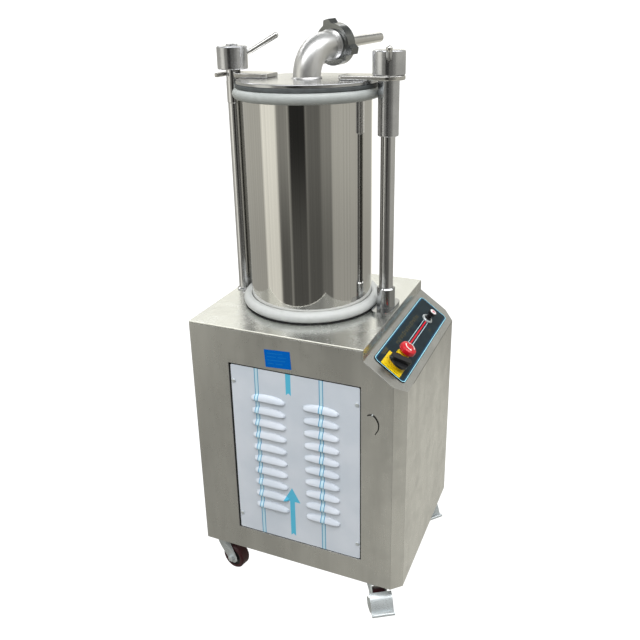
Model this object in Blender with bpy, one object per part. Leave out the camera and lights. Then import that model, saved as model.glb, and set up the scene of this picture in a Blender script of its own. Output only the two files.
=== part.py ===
"""Hydraulic sausage stuffer on casters: cabinet, barrel with piston, swinging lid and stuffing nozzle.

Metres, +Z up. Every place is measured from the barrel's axis at floor level. The whole machine hangs
from one empty, which moves that axis so that the origin is the centre of the machine's footprint.
"""

import math

import bmesh
import bpy
from mathutils import Matrix, Vector

# Driving dimensions, in metres from the barrel's axis and from the floor.
GAP = 0.0003
AXIS_X, AXIS_Y = -0.0493, -0.0083

CASTER_HEIGHT = 0.103
LEFT, RIGHT, FRONT, BACK = -0.2132, 0.3157, -0.2338, 0.2174
TOP_RIGHT = 0.222
TOP = CASTER_HEIGHT + 0.6223
SLOPE_HEAD, SLOPE_FOOT = TOP - 0.0267, CASTER_HEIGHT + 0.5285
CHAMFER_X, CHAMFER_Y = 0.0248, 0.0232
WALL = 0.002
ROUND = 48
TOP_PLATE = 0.004
LIP = 0.003

BARREL_RADIUS, BARREL_WALL = 0.1487, 0.003
BARREL_TOP = 1.2432
RING_RADIUS, RING_HEIGHT = 0.170, 0.025
GASKET_TOP = 1.2512
LID_RADIUS, LID_TOP = 0.1607, 1.260
BAR_TOP = 1.2703
BAR_HALF_WIDTH, BAR_INNER_END = 0.036, 0.087

COLUMN_LEFT, COLUMN_RIGHT, COLUMN_RADIUS = -0.1897, 0.1941, 0.0165
THREAD_RADIUS = 0.017
KNOB_HEIGHT = 0.052

PIPE_RADIUS, PIPE_WALL, BEND_RADIUS = 0.03175, 0.002, 0.065
OUTLET_TURN, OUTLET_RISE = math.radians(15), math.radians(3)
NOZZLE_RADIUS, NOZZLE_END = 0.0125, 0.232

ROD_RADIUS = 0.020
PISTON_FLOOR, PISTON_HEIGHT = 0.740, 0.060

WHEEL_RADIUS, WHEEL_WIDTH, TRAIL = 0.034, 0.030, 0.028

STEEL = ("stainless steel", (0.62, 0.61, 0.58), 0.30, 1.0)
POLISHED = ("polished steel", (0.72, 0.71, 0.69), 0.12, 1.0)
ZINC = ("zinc plate", (0.70, 0.72, 0.73), 0.30, 1.0)
NYLON = ("white nylon", (0.86, 0.87, 0.88), 0.45, 0.0)
RUBBER = ("black rubber", (0.03, 0.03, 0.035), 0.70, 0.0)
TREAD = ("dark red polyurethane", (0.09, 0.015, 0.02), 0.45, 0.0)
FILM = ("film on the front panel", (0.72, 0.76, 0.79), 0.35, 0.2)
LABEL = ("control plate", (0.03, 0.05, 0.065), 0.35, 0.0)
YELLOW = ("yellow plastic", (0.85, 0.68, 0.03), 0.40, 0.0)
RED = ("red plastic", (0.62, 0.02, 0.03), 0.35, 0.0)
BLACK = ("black plastic", (0.02, 0.02, 0.022), 0.40, 0.0)
PAINT = ("blue machine paint", (0.05, 0.12, 0.25), 0.45, 0.0)
BOX_GREY = ("grey plastic", (0.45, 0.46, 0.47), 0.50, 0.0)


# Modelling helpers -------------------------------------------------------------------------------


def clear_scene():
    for obj in list(bpy.data.objects):
        bpy.data.objects.remove(obj)


def finish_of(look):
    """The Principled material of one finish, made once."""
    name, colour, roughness, metallic = look
    found = bpy.data.materials.get(name)
    if found:
        return found
    made = bpy.data.materials.new(name)
    made.use_nodes = True
    shader = made.node_tree.nodes["Principled BSDF"]
    shader.inputs["Base Color"].default_value = (*colour, 1)
    shader.inputs["Roughness"].default_value = roughness
    shader.inputs["Metallic"].default_value = metallic
    return made


def empty(name, parent=None, location=(0, 0, 0), rotation=None):
    """A frame that pieces hang from, on a joint's axis or at a sub-assembly's corner."""
    made = bpy.data.objects.new(name, None)
    bpy.context.scene.collection.objects.link(made)
    made.parent = parent
    place = rotation.to_4x4() if rotation else Matrix.Identity(4)
    made.matrix_local = Matrix.Translation(location) @ place
    return made


def solid(name, bm, look, parent):
    """Puts a finished bmesh into the scene as a named piece."""
    bmesh.ops.remove_doubles(bm, verts=bm.verts, dist=1e-6)
    bmesh.ops.recalc_face_normals(bm, faces=bm.faces)
    mesh = bpy.data.meshes.new(name)
    bm.to_mesh(mesh)
    bm.free()
    mesh.shade_smooth()
    mesh.set_sharp_from_angle(angle=math.radians(35))
    mesh.materials.append(finish_of(look))
    made = bpy.data.objects.new(name, mesh)
    bpy.context.scene.collection.objects.link(made)
    made.parent = parent
    return made


def tool(name, bm, parent):
    """A solid used only by a Boolean."""
    made = solid(name, bm, STEEL, parent)
    made.hide_render = True
    made.display_type = "WIRE"
    return made


def combine(target, operand, operation):
    step = target.modifiers.new(operand.name, "BOOLEAN")
    step.object = operand
    step.operation = operation


def cut(target, bm, parent=None):
    operand = tool(f"{target.name}_cut_{len(target.modifiers)}", bm, parent or target.parent)
    combine(target, operand, "DIFFERENCE")


def add(target, bm, parent=None):
    operand = tool(f"{target.name}_add_{len(target.modifiers)}", bm, parent or target.parent)
    combine(target, operand, "UNION")


def soften(target, width):
    """Rounds a plate's edges over."""
    step = target.modifiers.new("soft edges", "BEVEL")
    step.width = width
    step.segments = 1
    step.limit_method = "ANGLE"
    step.angle_limit = math.radians(40)


def arc(centre, radius, start, end, steps):
    """Points along an arc in a plane; the angles are in degrees."""
    turns = [math.radians(start + (end - start) * i / steps) for i in range(steps + 1)]
    return [(centre[0] + radius * math.cos(a), centre[1] + radius * math.sin(a)) for a in turns]


def rounded_rectangle(low, high, radius, steps=4):
    (x0, y0), (x1, y1) = low, high
    corners = (((x1, y1), 0, -1, -1), ((x0, y1), 90, 1, -1), ((x0, y0), 180, 1, 1), ((x1, y0), 270, -1, 1))
    outline = []
    for (x, y), start, sx, sy in corners:
        outline += arc((x + sx * radius, y + sy * radius), radius, start, start + 90, steps)
    return outline


def lathe(profile, steps=28):
    """A closed profile of (radius, height) points turned once about Z."""
    bm = bmesh.new()
    ring = [bm.verts.new((radius, 0, height)) for radius, height in profile]
    edges = [bm.edges.new(pair) for pair in zip(ring, ring[1:] + ring[:1])]
    bmesh.ops.spin(bm, geom=ring + edges, cent=(0, 0, 0), axis=(0, 0, 1), angle=math.tau, steps=steps)
    bmesh.ops.remove_doubles(bm, verts=bm.verts, dist=1e-6)
    bmesh.ops.dissolve_degenerate(bm, edges=bm.edges, dist=1e-6)
    return bm


def disc(radius, low, high, steps=20, chamfer=0.0):
    """A round bar with an optional chamfer on its upper edge."""
    upper = [(radius, high - chamfer), (radius - chamfer, high)] if chamfer else [(radius, high)]
    return lathe([(0, low), (radius, low), *upper, (0, high)], steps)


def tube(outer, inner, low, high, steps=28):
    return lathe([(inner, low), (outer, low), (outer, high), (inner, high)], steps)


def prism(outline, low, high, along="Z"):
    """An outline drawn in the plane across one axis and extruded along it."""
    place = {
        "X": lambda a, b, c: (c, a, b),
        "Y": lambda a, b, c: (a, c, b),
        "Z": lambda a, b, c: (a, b, c),
    }[along]
    bm = bmesh.new()
    face = bm.faces.new([bm.verts.new(place(a, b, low)) for a, b in outline])
    extruded = bmesh.ops.extrude_face_region(bm, geom=[face])["geom"]
    moved = [part for part in extruded if isinstance(part, bmesh.types.BMVert)]
    bmesh.ops.translate(bm, verts=moved, vec=place(0, 0, high - low))
    return bm


def block(low, high):
    (x0, y0, z0), (x1, y1, z1) = low, high
    return prism([(x0, y0), (x1, y0), (x1, y1), (x0, y1)], z0, z1)


def merged(*parts):
    """Several bmeshes in one, for a Boolean with more than one tool at once."""
    whole = bmesh.new()
    for part in parts:
        mesh = bpy.data.meshes.new("part of a tool")
        part.to_mesh(mesh)
        part.free()
        whole.from_mesh(mesh)
        bpy.data.meshes.remove(mesh)
    return whole


def moved(bm, location, rotation=None):
    place = Matrix.Translation(location)
    if rotation:
        place = place @ rotation.to_4x4()
    bmesh.ops.transform(bm, matrix=place, verts=bm.verts)
    return bm


# Cabinet -----------------------------------------------------------------------------------------


def cabinet_form(inset, low, high):
    """The cabinet's outer form, drawn in by inset: a sloped right shoulder and two chamfered corners."""
    fall = math.atan2(SLOPE_HEAD - SLOPE_FOOT, RIGHT - TOP_RIGHT)
    shoulder = SLOPE_HEAD - GAP - inset
    foot = SLOPE_FOOT + inset * math.tan(fall) - inset / math.cos(fall)
    head_x = RIGHT - (shoulder - SLOPE_FOOT + inset / math.cos(fall)) / math.tan(fall)
    step_x = TOP_RIGHT - LIP - GAP - inset
    right = RIGHT - inset
    outline = [(LEFT + inset, low), (right, low), (right, foot), (head_x, shoulder), (step_x, shoulder)]
    outline += [(step_x, high), (LEFT + inset, high)]
    bm = prism(outline, FRONT + inset, BACK - inset, "Y")
    for side, edge in ((-1, FRONT), (1, BACK)):
        normal = Vector((CHAMFER_Y, side * CHAMFER_X, 0)).normalized()
        point = Vector((RIGHT - CHAMFER_X, edge, 0)) - inset * normal
        everything = bm.verts[:] + bm.edges[:] + bm.faces[:]
        cut_edges = bmesh.ops.bisect_plane(
            bm, geom=everything, plane_co=point, plane_no=normal, clear_outer=True
        )["geom_cut"]
        bmesh.ops.edgeloop_fill(bm, edges=[e for e in cut_edges if isinstance(e, bmesh.types.BMEdge)])
    return bm


PANEL_LEFT, PANEL_RIGHT = -0.1135, 0.2165
PANEL_LOW, PANEL_HIGH = CASTER_HEIGHT + 0.0643, CASTER_HEIGHT + 0.5323
PANEL_LEDGE = 0.015
PANEL_SEAT = FRONT + 0.0036
PANEL_THICKNESS = 0.0022
PANEL_SCREWS = [(x, z) for x in (-0.1022, 0.2075) for z in (CASTER_HEIGHT + 0.1095, CASTER_HEIGHT + 0.4865)]
LOUVRE_COLUMNS = (-0.014, 0.120)
LOUVRE_ROWS, LOUVRE_FIRST, LOUVRE_PITCH = 10, CASTER_HEIGHT + 0.448, 0.0333
LOUVRE_HALF_WIDTH, LOUVRE_OUT, LOUVRE_SHEET = 0.0435, 0.008, 0.0014
VENT_ROWS = 8


def box_across(x0, x1, y0, y1, z0, z1):
    return block((x0, y0, z0), (x1, y1, z1))


def make_cabinet(machine, slope):
    shell = solid("cabinet_shell", cabinet_form(0, CASTER_HEIGHT, TOP - TOP_PLATE - GAP), STEEL, machine)
    cut(shell, cabinet_form(WALL, CASTER_HEIGHT - 0.01, TOP))
    doubler = box_across(PANEL_LEFT - 2 * PANEL_LEDGE, PANEL_RIGHT + PANEL_LEDGE, FRONT + WALL / 2,
                         PANEL_SEAT + WALL, PANEL_LOW - 2 * PANEL_LEDGE, PANEL_HIGH + PANEL_LEDGE)
    add(shell, doubler)
    cut(shell, box_across(PANEL_LEFT, PANEL_RIGHT, FRONT - 0.01, PANEL_SEAT, PANEL_LOW, PANEL_HIGH))
    cut(shell, box_across(PANEL_LEFT + PANEL_LEDGE, PANEL_RIGHT - PANEL_LEDGE, FRONT - 0.01, FRONT + 0.02,
                          PANEL_LOW + PANEL_LEDGE, PANEL_HIGH - PANEL_LEDGE))
    cut(shell, box_across(-0.155, 0.195, BACK - 0.01, BACK + 0.01, 0.185, 0.605))
    cut(shell, merged(*[screw_hole(x, z) for x, z in PANEL_SCREWS]))
    cut(shell, merged(*[moved(disc(0.0113, -0.02, 0.02), (down, y, 0)) for down, y in CONTROLS]), slope)
    cut(shell, moved(disc(0.0103, -0.02, 0.02), GLAND_PLACE, Matrix.Rotation(math.pi / 2, 3, "Y")))

    pan = solid("base_pan", block((LEFT + WALL + GAP, FRONT + WALL + GAP, CASTER_HEIGHT),
                                  (RIGHT - CHAMFER_X - WALL, BACK - WALL - GAP, CASTER_HEIGHT + 0.005)),
                STEEL, machine)
    add(pan, merged(*[box_across(LEFT + 0.012, RIGHT - CHAMFER_X - 0.012, y - 0.015, y + 0.015,
                                 CASTER_HEIGHT + 0.003, CASTER_HEIGHT + 0.022) for y in (-0.19, 0.175)]))

    plate = [(LEFT, TOP - TOP_PLATE), (TOP_RIGHT - LIP, TOP - TOP_PLATE), (TOP_RIGHT - LIP, SLOPE_HEAD)]
    plate += [(TOP_RIGHT, SLOPE_HEAD), (TOP_RIGHT, TOP), (LEFT, TOP)]
    top = solid("top_plate", prism(plate, FRONT, BACK, "Y"), STEEL, machine)
    cut(top, disc(0.0333, TOP - 0.02, TOP + 0.02))

    back = solid("back_panel", box_across(-0.170, 0.210, BACK + GAP, BACK + 0.0023, 0.170, 0.620),
                 STEEL, machine)
    slots = [box_across(x - 0.05, x + 0.05, BACK - 0.01, BACK + 0.02, z, z + 0.006)
             for x in (-0.06, 0.10) for z in [0.30 + 0.03 * row for row in range(VENT_ROWS)]]
    cut(back, merged(*slots))


def screw_hole(x, z):
    return moved(disc(0.0028, -0.02, 0.02, 12), (x, FRONT, z), Matrix.Rotation(math.pi / 2, 3, "X"))


def louvre(x, z, inset):
    """One pressed hood, open below; inset draws the inside surface."""
    face = PANEL_SEAT - GAP - PANEL_THICKNESS
    half, out, low, high = LOUVRE_HALF_WIDTH - inset, LOUVRE_OUT - inset, z - 0.010, z + 0.011 - 2 * inset
    root = face + (0.001 if not inset else 0.01)
    base = low - (0.0005 if inset else 0)
    bm = bmesh.new()
    behind = [(x - half, root, base), (x + half, root, base), (x + half, root, high), (x - half, root, high)]
    crown = [(x - half + 0.009, face - out, base), (x + half - 0.009, face - out, base),
             (x + half - 0.014, face - 0.55 * out, z + 0.005 - inset),
             (x - half + 0.014, face - 0.55 * out, z + 0.005 - inset)]
    lower, upper = [[bm.verts.new(point) for point in loop] for loop in (behind, crown)]
    bm.faces.new(lower)
    bm.faces.new(upper)
    for i in range(4):
        bm.faces.new((lower[i], lower[(i + 1) % 4], upper[(i + 1) % 4], upper[i]))
    bmesh.ops.triangulate(bm, faces=bm.faces)
    bmesh.ops.recalc_face_normals(bm, faces=bm.faces)
    return bm


def make_front_panel(machine):
    outer = PANEL_SEAT - GAP
    edge = 0.002
    panel = solid("front_panel", box_across(PANEL_LEFT + edge, PANEL_RIGHT - edge, outer - PANEL_THICKNESS,
                                            outer, PANEL_LOW + edge, PANEL_HIGH - edge), FILM, machine)
    places = [(x, LOUVRE_FIRST - LOUVRE_PITCH * row) for x in LOUVRE_COLUMNS for row in range(LOUVRE_ROWS)]
    add(panel, merged(*[louvre(x, z, 0) for x, z in places]))
    cut(panel, merged(*[louvre(x, z, LOUVRE_SHEET) for x, z in places]))
    cut(panel, merged(*[screw_hole(x, z) for x, z in PANEL_SCREWS]))
    head = PANEL_THICKNESS + 0.0028
    for number, (x, z) in enumerate(PANEL_SCREWS, 1):
        seat = head - 0.0028 + GAP
        profile = [(0, -0.008), (0.0025, -0.008), (0.0025, seat), (0.005, seat)]
        profile += [(0.005, head - 0.0012), (0.0032, head), (0, head)]
        place = moved(lathe(profile, 12), (x, outer, z), Matrix.Rotation(math.pi / 2, 3, "X"))
        solid(f"panel_screw_{number}", place, ZINC, machine)


# Barrel, piston and hydraulics -------------------------------------------------------------------


def make_barrel(machine):
    wall = tube(BARREL_RADIUS, BARREL_RADIUS - BARREL_WALL, TOP + GAP, BARREL_TOP, ROUND)
    solid("barrel", wall, POLISHED, machine)
    half = RING_HEIGHT / 2
    for name, middle in (("barrel_bottom_ring", TOP + GAP + half), ("barrel_top_ring", BARREL_TOP - half)):
        outside = arc((RING_RADIUS - half, middle), half, -90, 90, 6)
        inner = BARREL_RADIUS + GAP
        solid(name, lathe([(inner, middle - half), *outside, (inner, middle + half)], ROUND), NYLON, machine)


def make_piston(machine):
    body = BARREL_RADIUS - BARREL_WALL
    low, high = PISTON_FLOOR, PISTON_FLOOR + PISTON_HEIGHT
    groove_low, groove_high, groove = low + 0.024, low + 0.036, body - 0.008
    stud = 0.012
    edge = body - 0.0012
    solid("piston", lathe([(stud + GAP, low), (edge, low), (edge, groove_low), (groove, groove_low),
                           (groove, groove_high), (edge, groove_high), (edge, high), (stud + GAP, high)], ROUND),
          STEEL, machine)
    seal = tube(body - GAP, groove + GAP, groove_low + GAP, groove_high - GAP, ROUND)
    solid("piston_seal", seal, NYLON, machine)
    head_low, head_high = 0.200, 0.240
    solid("piston_rod", lathe([(0, head_low), (0.0325, head_low), (0.0325, head_high), (ROD_RADIUS, head_high),
                               (ROD_RADIUS, low - GAP), (stud, low - GAP), (stud, high - 0.0015),
                               (0, high - 0.0015)]), POLISHED, machine)
    bore = 0.033
    solid("rod_gland", lathe([(ROD_RADIUS + GAP, 0.690), (bore - GAP, 0.690), (bore - GAP, TOP + GAP),
                              (0.060, TOP + GAP), (0.060, TOP + 0.008), (0.056, TOP + 0.011),
                              (ROD_RADIUS + GAP, TOP + 0.011)]), STEEL, machine)
    flange = TOP - TOP_PLATE - GAP
    solid("hydraulic_cylinder", lathe([(0, 0.170), (0.040, 0.170), (0.040, flange - 0.012),
                                       (0.060, flange - 0.012), (0.060, flange), (bore, flange),
                                       (bore, 0.182), (0, 0.182)]), PAINT, machine)


TANK_WALL = 0.004


def make_power_pack(machine):
    floor = CASTER_HEIGHT + 0.022 + GAP
    tank = solid("oil_tank", block((-0.195, -0.160, floor), (-0.060, 0.190, 0.400)), PAINT, machine)
    add(tank, moved(disc(0.018, 0.395, 0.425), (-0.130, 0.140, 0)))
    cut(tank, block((-0.195 + TANK_WALL, -0.160 + TANK_WALL, floor + TANK_WALL),
                    (-0.060 - TANK_WALL, 0.190 - TANK_WALL, 0.400 - TANK_WALL)))
    cut(tank, moved(disc(0.014, 0.390, 0.430), (-0.130, 0.140, 0)))

    lying = Matrix.Rotation(math.pi / 2, 3, "X")
    motor_form = moved(disc(0.062, -0.150, 0.060, 32), (0.165, 0, 0.205), lying)
    motor = solid("pump_motor", motor_form, PAINT, machine)
    add(motor, block((0.115, -0.050, floor), (0.215, 0.140, 0.165)))
    add(motor, block((0.135, 0.010, 0.255), (0.195, 0.080, 0.295)))
    pump_form = moved(disc(0.040, 0.0605, 0.115, 32), (0.165, 0, 0.205), lying)
    pump = solid("gear_pump", pump_form, ZINC, machine)
    add(pump, block((0.145, -0.112, 0.225), (0.185, -0.066, 0.262)))
    solid("valve_block", block((0.135, -0.125, 0.2623), (0.195, -0.062, 0.330)), ZINC, machine)

    valve_port, cylinder_port = Vector((0.1347, -0.095, 0.300)), Vector((0.0405, 0, 0.2605))
    straight = Vector((0.010, 0, 0))
    start, end = valve_port - straight, cylinder_port + straight
    bend = [start, start - 4 * straight, end + 3 * straight, end]
    route = [valve_port]
    steps = 14
    for i in range(steps + 1):
        t = i / steps
        weights = ((1 - t) ** 3, 3 * t * (1 - t) ** 2, 3 * t * t * (1 - t), t ** 3)
        route.append(sum((weight * point for weight, point in zip(weights, bend)), Vector()))
    route.append(cylinder_port)
    curve = bpy.data.curves.new("hydraulic_hose", "CURVE")
    curve.dimensions = "3D"
    curve.bevel_depth = 0.0085
    curve.bevel_resolution = 2
    curve.use_fill_caps = True
    spline = curve.splines.new("POLY")
    spline.points.add(len(route) - 1)
    for point, place in zip(spline.points, route):
        point.co = (*place, 1)
    curve.materials.append(finish_of(RUBBER))
    hose = bpy.data.objects.new("hydraulic_hose", curve)
    bpy.context.scene.collection.objects.link(hose)
    hose.parent = machine

    solid("control_box", block((0.205, -0.170, 0.420), (0.290, 0.150, 0.560)), BOX_GREY, machine)


# Columns, lid and clamps -------------------------------------------------------------------------


def make_columns(machine):
    low = TOP + GAP
    plate_top = low + 0.008
    socket = 0.022
    outline = rounded_rectangle((COLUMN_RIGHT - 0.0235, -0.051), (COLUMN_RIGHT + 0.0235, 0.051), 0.018)
    foot = solid("right_column_foot", prism(outline, low, plate_top), STEEL, machine)
    collar = [(0, plate_top - 0.004), (socket, plate_top - 0.004), (socket, 0.779), (socket - 0.003, 0.782)]
    add(foot, moved(lathe([*collar, (0, 0.782)]), (COLUMN_RIGHT, 0, 0)))
    rib = [(socket - 0.004, plate_top - 0.003), (0.047, plate_top - 0.003), (0.047, plate_top + 0.004),
           (socket - 0.004, plate_top + 0.026)]
    add(foot, prism(rib, COLUMN_RIGHT - 0.003, COLUMN_RIGHT + 0.003, "X"))
    cut(foot, moved(disc(COLUMN_RADIUS + GAP, low - 0.01, 0.80), (COLUMN_RIGHT, 0, 0)))

    post = lathe([(0, low), (COLUMN_RADIUS, low), (COLUMN_RADIUS, 1.314), (0, 1.314)])
    solid("right_column", moved(post, (COLUMN_RIGHT, 0, 0)), POLISHED, machine)

    sleeve = COLUMN_RADIUS + 0.0012
    profile = [(0, low), (0.021, low), (0.021, low + 0.003), (COLUMN_RADIUS, low + 0.006)]
    profile += [(COLUMN_RADIUS, 1.200), (sleeve, 1.2012), (sleeve, 1.250), (THREAD_RADIUS, 1.2515)]
    profile += [(THREAD_RADIUS, 1.320), (0, 1.320)]
    solid("left_column", moved(lathe(profile, 32), (COLUMN_LEFT, 0, 0)), POLISHED, machine)


def make_lid(machine, pivot, outlet):
    """The lid and all that is welded to it, in the barrel's coordinates under the pivot's empty."""
    hole = PIPE_RADIUS - PIPE_WALL
    under = GASKET_TOP + GAP
    lid = lathe([(hole, under), (LID_RADIUS - 0.001, under), (LID_RADIUS, under + 0.001),
                 (LID_RADIUS, LID_TOP - 0.0015), (LID_RADIUS - 0.0015, LID_TOP), (hole, LID_TOP)], ROUND)
    solid("lid", lid, STEEL, pivot)
    solid("lid_gasket", tube(LID_RADIUS + 0.0015, BARREL_RADIUS + 0.001, BARREL_TOP + GAP, GASKET_TOP, ROUND),
          RUBBER, pivot)

    low = LID_TOP + GAP
    slot, tip = 0.0205, 0.010
    end = COLUMN_LEFT - slot - tip
    width = BAR_HALF_WIDTH
    corner = 0.008
    notch = arc((COLUMN_LEFT + 0.001, 0.0), slot, 180, 0, 10)
    outline = [(COLUMN_LEFT + 0.001 + slot, -width), (-BAR_INNER_END - corner, -width),
               (-BAR_INNER_END, -width + corner), (-BAR_INNER_END, width - corner),
               (-BAR_INNER_END - corner, width), (end, width), (end, -width),
               (COLUMN_LEFT + 0.001 - slot, -width), *notch]
    soften(solid("fork_bar", prism(outline, low, BAR_TOP), STEEL, pivot), 0.0015)

    outline = [(BAR_INNER_END, width - corner), (BAR_INNER_END, -width + corner),
               (BAR_INNER_END + corner, -width), *arc((COLUMN_RIGHT, 0), width, -90, 90, 14),
               (BAR_INNER_END + corner, width)]
    arm = solid("hinge_arm", prism(outline, low, BAR_TOP), STEEL, pivot)
    soften(arm, 0.0015)
    cut(arm, moved(disc(COLUMN_RADIUS + 0.0006, low - 0.01, BAR_TOP + 0.01), (COLUMN_RIGHT, 0, 0)))
    outer = 0.0236
    sleeve = lathe([(COLUMN_RADIUS + GAP, 1.140), (outer - 0.0012, 1.140), (outer, 1.1415), (outer, LID_TOP),
                    (COLUMN_RADIUS + GAP, LID_TOP)])
    solid("pivot_sleeve", moved(sleeve, (COLUMN_RIGHT, 0, 0)), STEEL, pivot)

    make_elbow(pivot, outlet)


WELD_DEPTH = 0.0015
PIPE_SIDES = 28


def pipe_path(steps=9):
    """Centre points and directions of the elbow: up from the lid, round the bend and on to the union."""
    sideways = Vector((math.sin(OUTLET_TURN), math.cos(OUTLET_TURN), 0))
    start = Vector((0, 0, LID_TOP + WELD_DEPTH))
    bend = math.pi / 2 - OUTLET_RISE
    stations = []
    for i in range(steps + 1):
        angle = bend * i / steps
        rise = Vector((0, 0, BEND_RADIUS * math.sin(angle)))
        place = start + sideways * BEND_RADIUS * (1 - math.cos(angle)) + rise
        stations.append((place, sideways * math.sin(angle) + Vector((0, 0, math.cos(angle)))))
    return stations


UNION_FACE = 0.046
FERRULE_RADIUS = 0.040
ELBOW_REACH = UNION_FACE - 0.001


def swept_pipe(radius, extra_low, extra_high):
    """A solid round bar along the elbow's path, run on straight past either end."""
    stations = pipe_path()
    first, last = stations[0], stations[-1]
    stations = [(first[0] - first[1] * extra_low, first[1])] * (extra_low > 0) + stations
    stations.append((last[0] + last[1] * (ELBOW_REACH + extra_high), last[1]))
    across = Vector((math.cos(OUTLET_TURN), -math.sin(OUTLET_TURN), 0))
    bm = bmesh.new()
    rings = []
    for place, direction in stations:
        third = direction.cross(across)
        turns = [math.tau * i / PIPE_SIDES for i in range(PIPE_SIDES)]
        spokes = [across * math.cos(a) + third * math.sin(a) for a in turns]
        rings.append([bm.verts.new(place + radius * spoke) for spoke in spokes])
    for ring, following in zip(rings, rings[1:]):
        for i in range(PIPE_SIDES):
            j = (i + 1) % PIPE_SIDES
            bm.faces.new((ring[i], ring[j], following[j], following[i]))
    bm.faces.new(rings[0])
    bm.faces.new(rings[-1])
    bmesh.ops.recalc_face_normals(bm, faces=bm.faces)
    return bm


def make_elbow(pivot, outlet):
    elbow = solid("elbow_pipe", swept_pipe(PIPE_RADIUS, 0, 0), STEEL, pivot)
    low = LID_TOP + GAP
    add(elbow, lathe([(0, low), (0.0355, low), (0.0330, low + 0.003), (0, low + 0.003)]))
    skin = PIPE_RADIUS + 0.001
    profile = [(0, UNION_FACE - 0.030), (skin, UNION_FACE - 0.030)]
    for bead in (UNION_FACE - 0.027, UNION_FACE - 0.020):
        profile += [(skin, bead), (skin + 0.002, bead + 0.002), (skin, bead + 0.004)]
    profile += [(skin + 0.001, UNION_FACE - 0.012), (FERRULE_RADIUS - 0.002, UNION_FACE - 0.006),
                (FERRULE_RADIUS, UNION_FACE - 0.006), (FERRULE_RADIUS, UNION_FACE), (0, UNION_FACE)]
    add(elbow, lathe(profile), outlet)
    cut(elbow, swept_pipe(PIPE_RADIUS - PIPE_WALL, 0.01, 0.01))

    start = UNION_FACE + GAP
    bore = NOZZLE_RADIUS - 0.0015
    nozzle = lathe([(bore, start), (FERRULE_RADIUS, start), (FERRULE_RADIUS, start + 0.006),
                    (0.022, start + 0.007), (NOZZLE_RADIUS + 0.0008, start + 0.016),
                    (NOZZLE_RADIUS - 0.0006, NOZZLE_END), (bore, NOZZLE_END)])
    solid("stuffing_nozzle", nozzle, STEEL, outlet)

    body, lug_height, lug_half = 0.0475, 0.010, math.radians(12)
    outline = []
    lug_angles = [math.radians(angle) for angle in (-17, 103, 223)]
    count = 48
    for i in range(count):
        angle = math.tau * i / count
        on_lug = any(abs((angle - lug + math.pi) % math.tau - math.pi) < lug_half for lug in lug_angles)
        radius = body + lug_height * on_lug
        outline.append((radius * math.cos(angle), radius * math.sin(angle)))
    low, high = UNION_FACE - 0.014, UNION_FACE + 0.014
    nut = solid("union_nut", prism(outline, low, high), STEEL, outlet)
    seat = FERRULE_RADIUS + GAP
    cut(nut, lathe([(0, low - 0.01), (0.0345, low - 0.01), (0.0345, low + 0.0015), (seat, low + 0.0075),
                    (seat, high + 0.01), (0, high + 0.01)]))


def lever(inner, shank, radius, length):
    """A tapered bar along +X with a round end, starting at inner from the knob's axis."""
    ball = arc((inner + length - radius, 0), radius, 0, 80, 6)
    neck = inner + 0.018
    profile = [(0, inner), (shank, inner), (shank, neck), (0.8 * radius, neck + 0.002)]
    profile += [(r, h) for h, r in reversed(ball[1:])] + [(0, inner + length)]
    return moved(lathe(profile, 20), (0, 0, 0), Matrix.Rotation(math.pi / 2, 3, "Y"))


def make_knob(side, post, low, radius, heading, rise, bore, top_boss):
    """A clamp knob on its column's thread, with the tilted bar that turns it."""
    high = low + KNOB_HEIGHT
    edge = 0.004
    profile = [(bore, low), (radius - 0.0015, low), (radius, low + 0.0015)]
    profile += arc((radius - edge, high - edge), edge, 0, 90, 3)
    if top_boss:
        profile += [(0.0135, high), (0.0135, high + 0.0035), (0.0125, high + 0.0045), (0, high + 0.0045)]
    else:
        profile += [(0, high)]
    profile += [(0, high - 0.007), (bore, high - 0.007)]
    knob = solid(f"{side}_knob", lathe(profile, 36), STEEL, post)
    base = low + 0.62 * KNOB_HEIGHT
    tilt = Matrix.Rotation(math.radians(heading), 3, "Z") @ Matrix.Rotation(math.radians(-rise), 3, "Y")
    foot = (radius - 0.012) / math.cos(math.radians(rise))
    shank = 0.0046
    start = Vector((0, 0, base - (radius - 0.006) * math.tan(math.radians(rise))))
    cut(knob, moved(disc(shank + GAP, foot - GAP, foot + 0.05, 20), start,
                    tilt @ Matrix.Rotation(math.pi / 2, 3, "Y")))
    solid(f"{side}_lever", moved(lever(foot, shank, 0.0072, 0.098), start, tilt), POLISHED, post)


# Controls ----------------------------------------------------------------------------------------

SWITCH, ESTOP, BUTTON = (0.060, -0.1645), (0.0595, -0.117), (0.0585, 0.101)
CONTROLS = (SWITCH, ESTOP, BUTTON)
GRIP_HEADING = 33
GLAND_PLACE = (LEFT, -0.186, CASTER_HEIGHT + 0.158)


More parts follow.
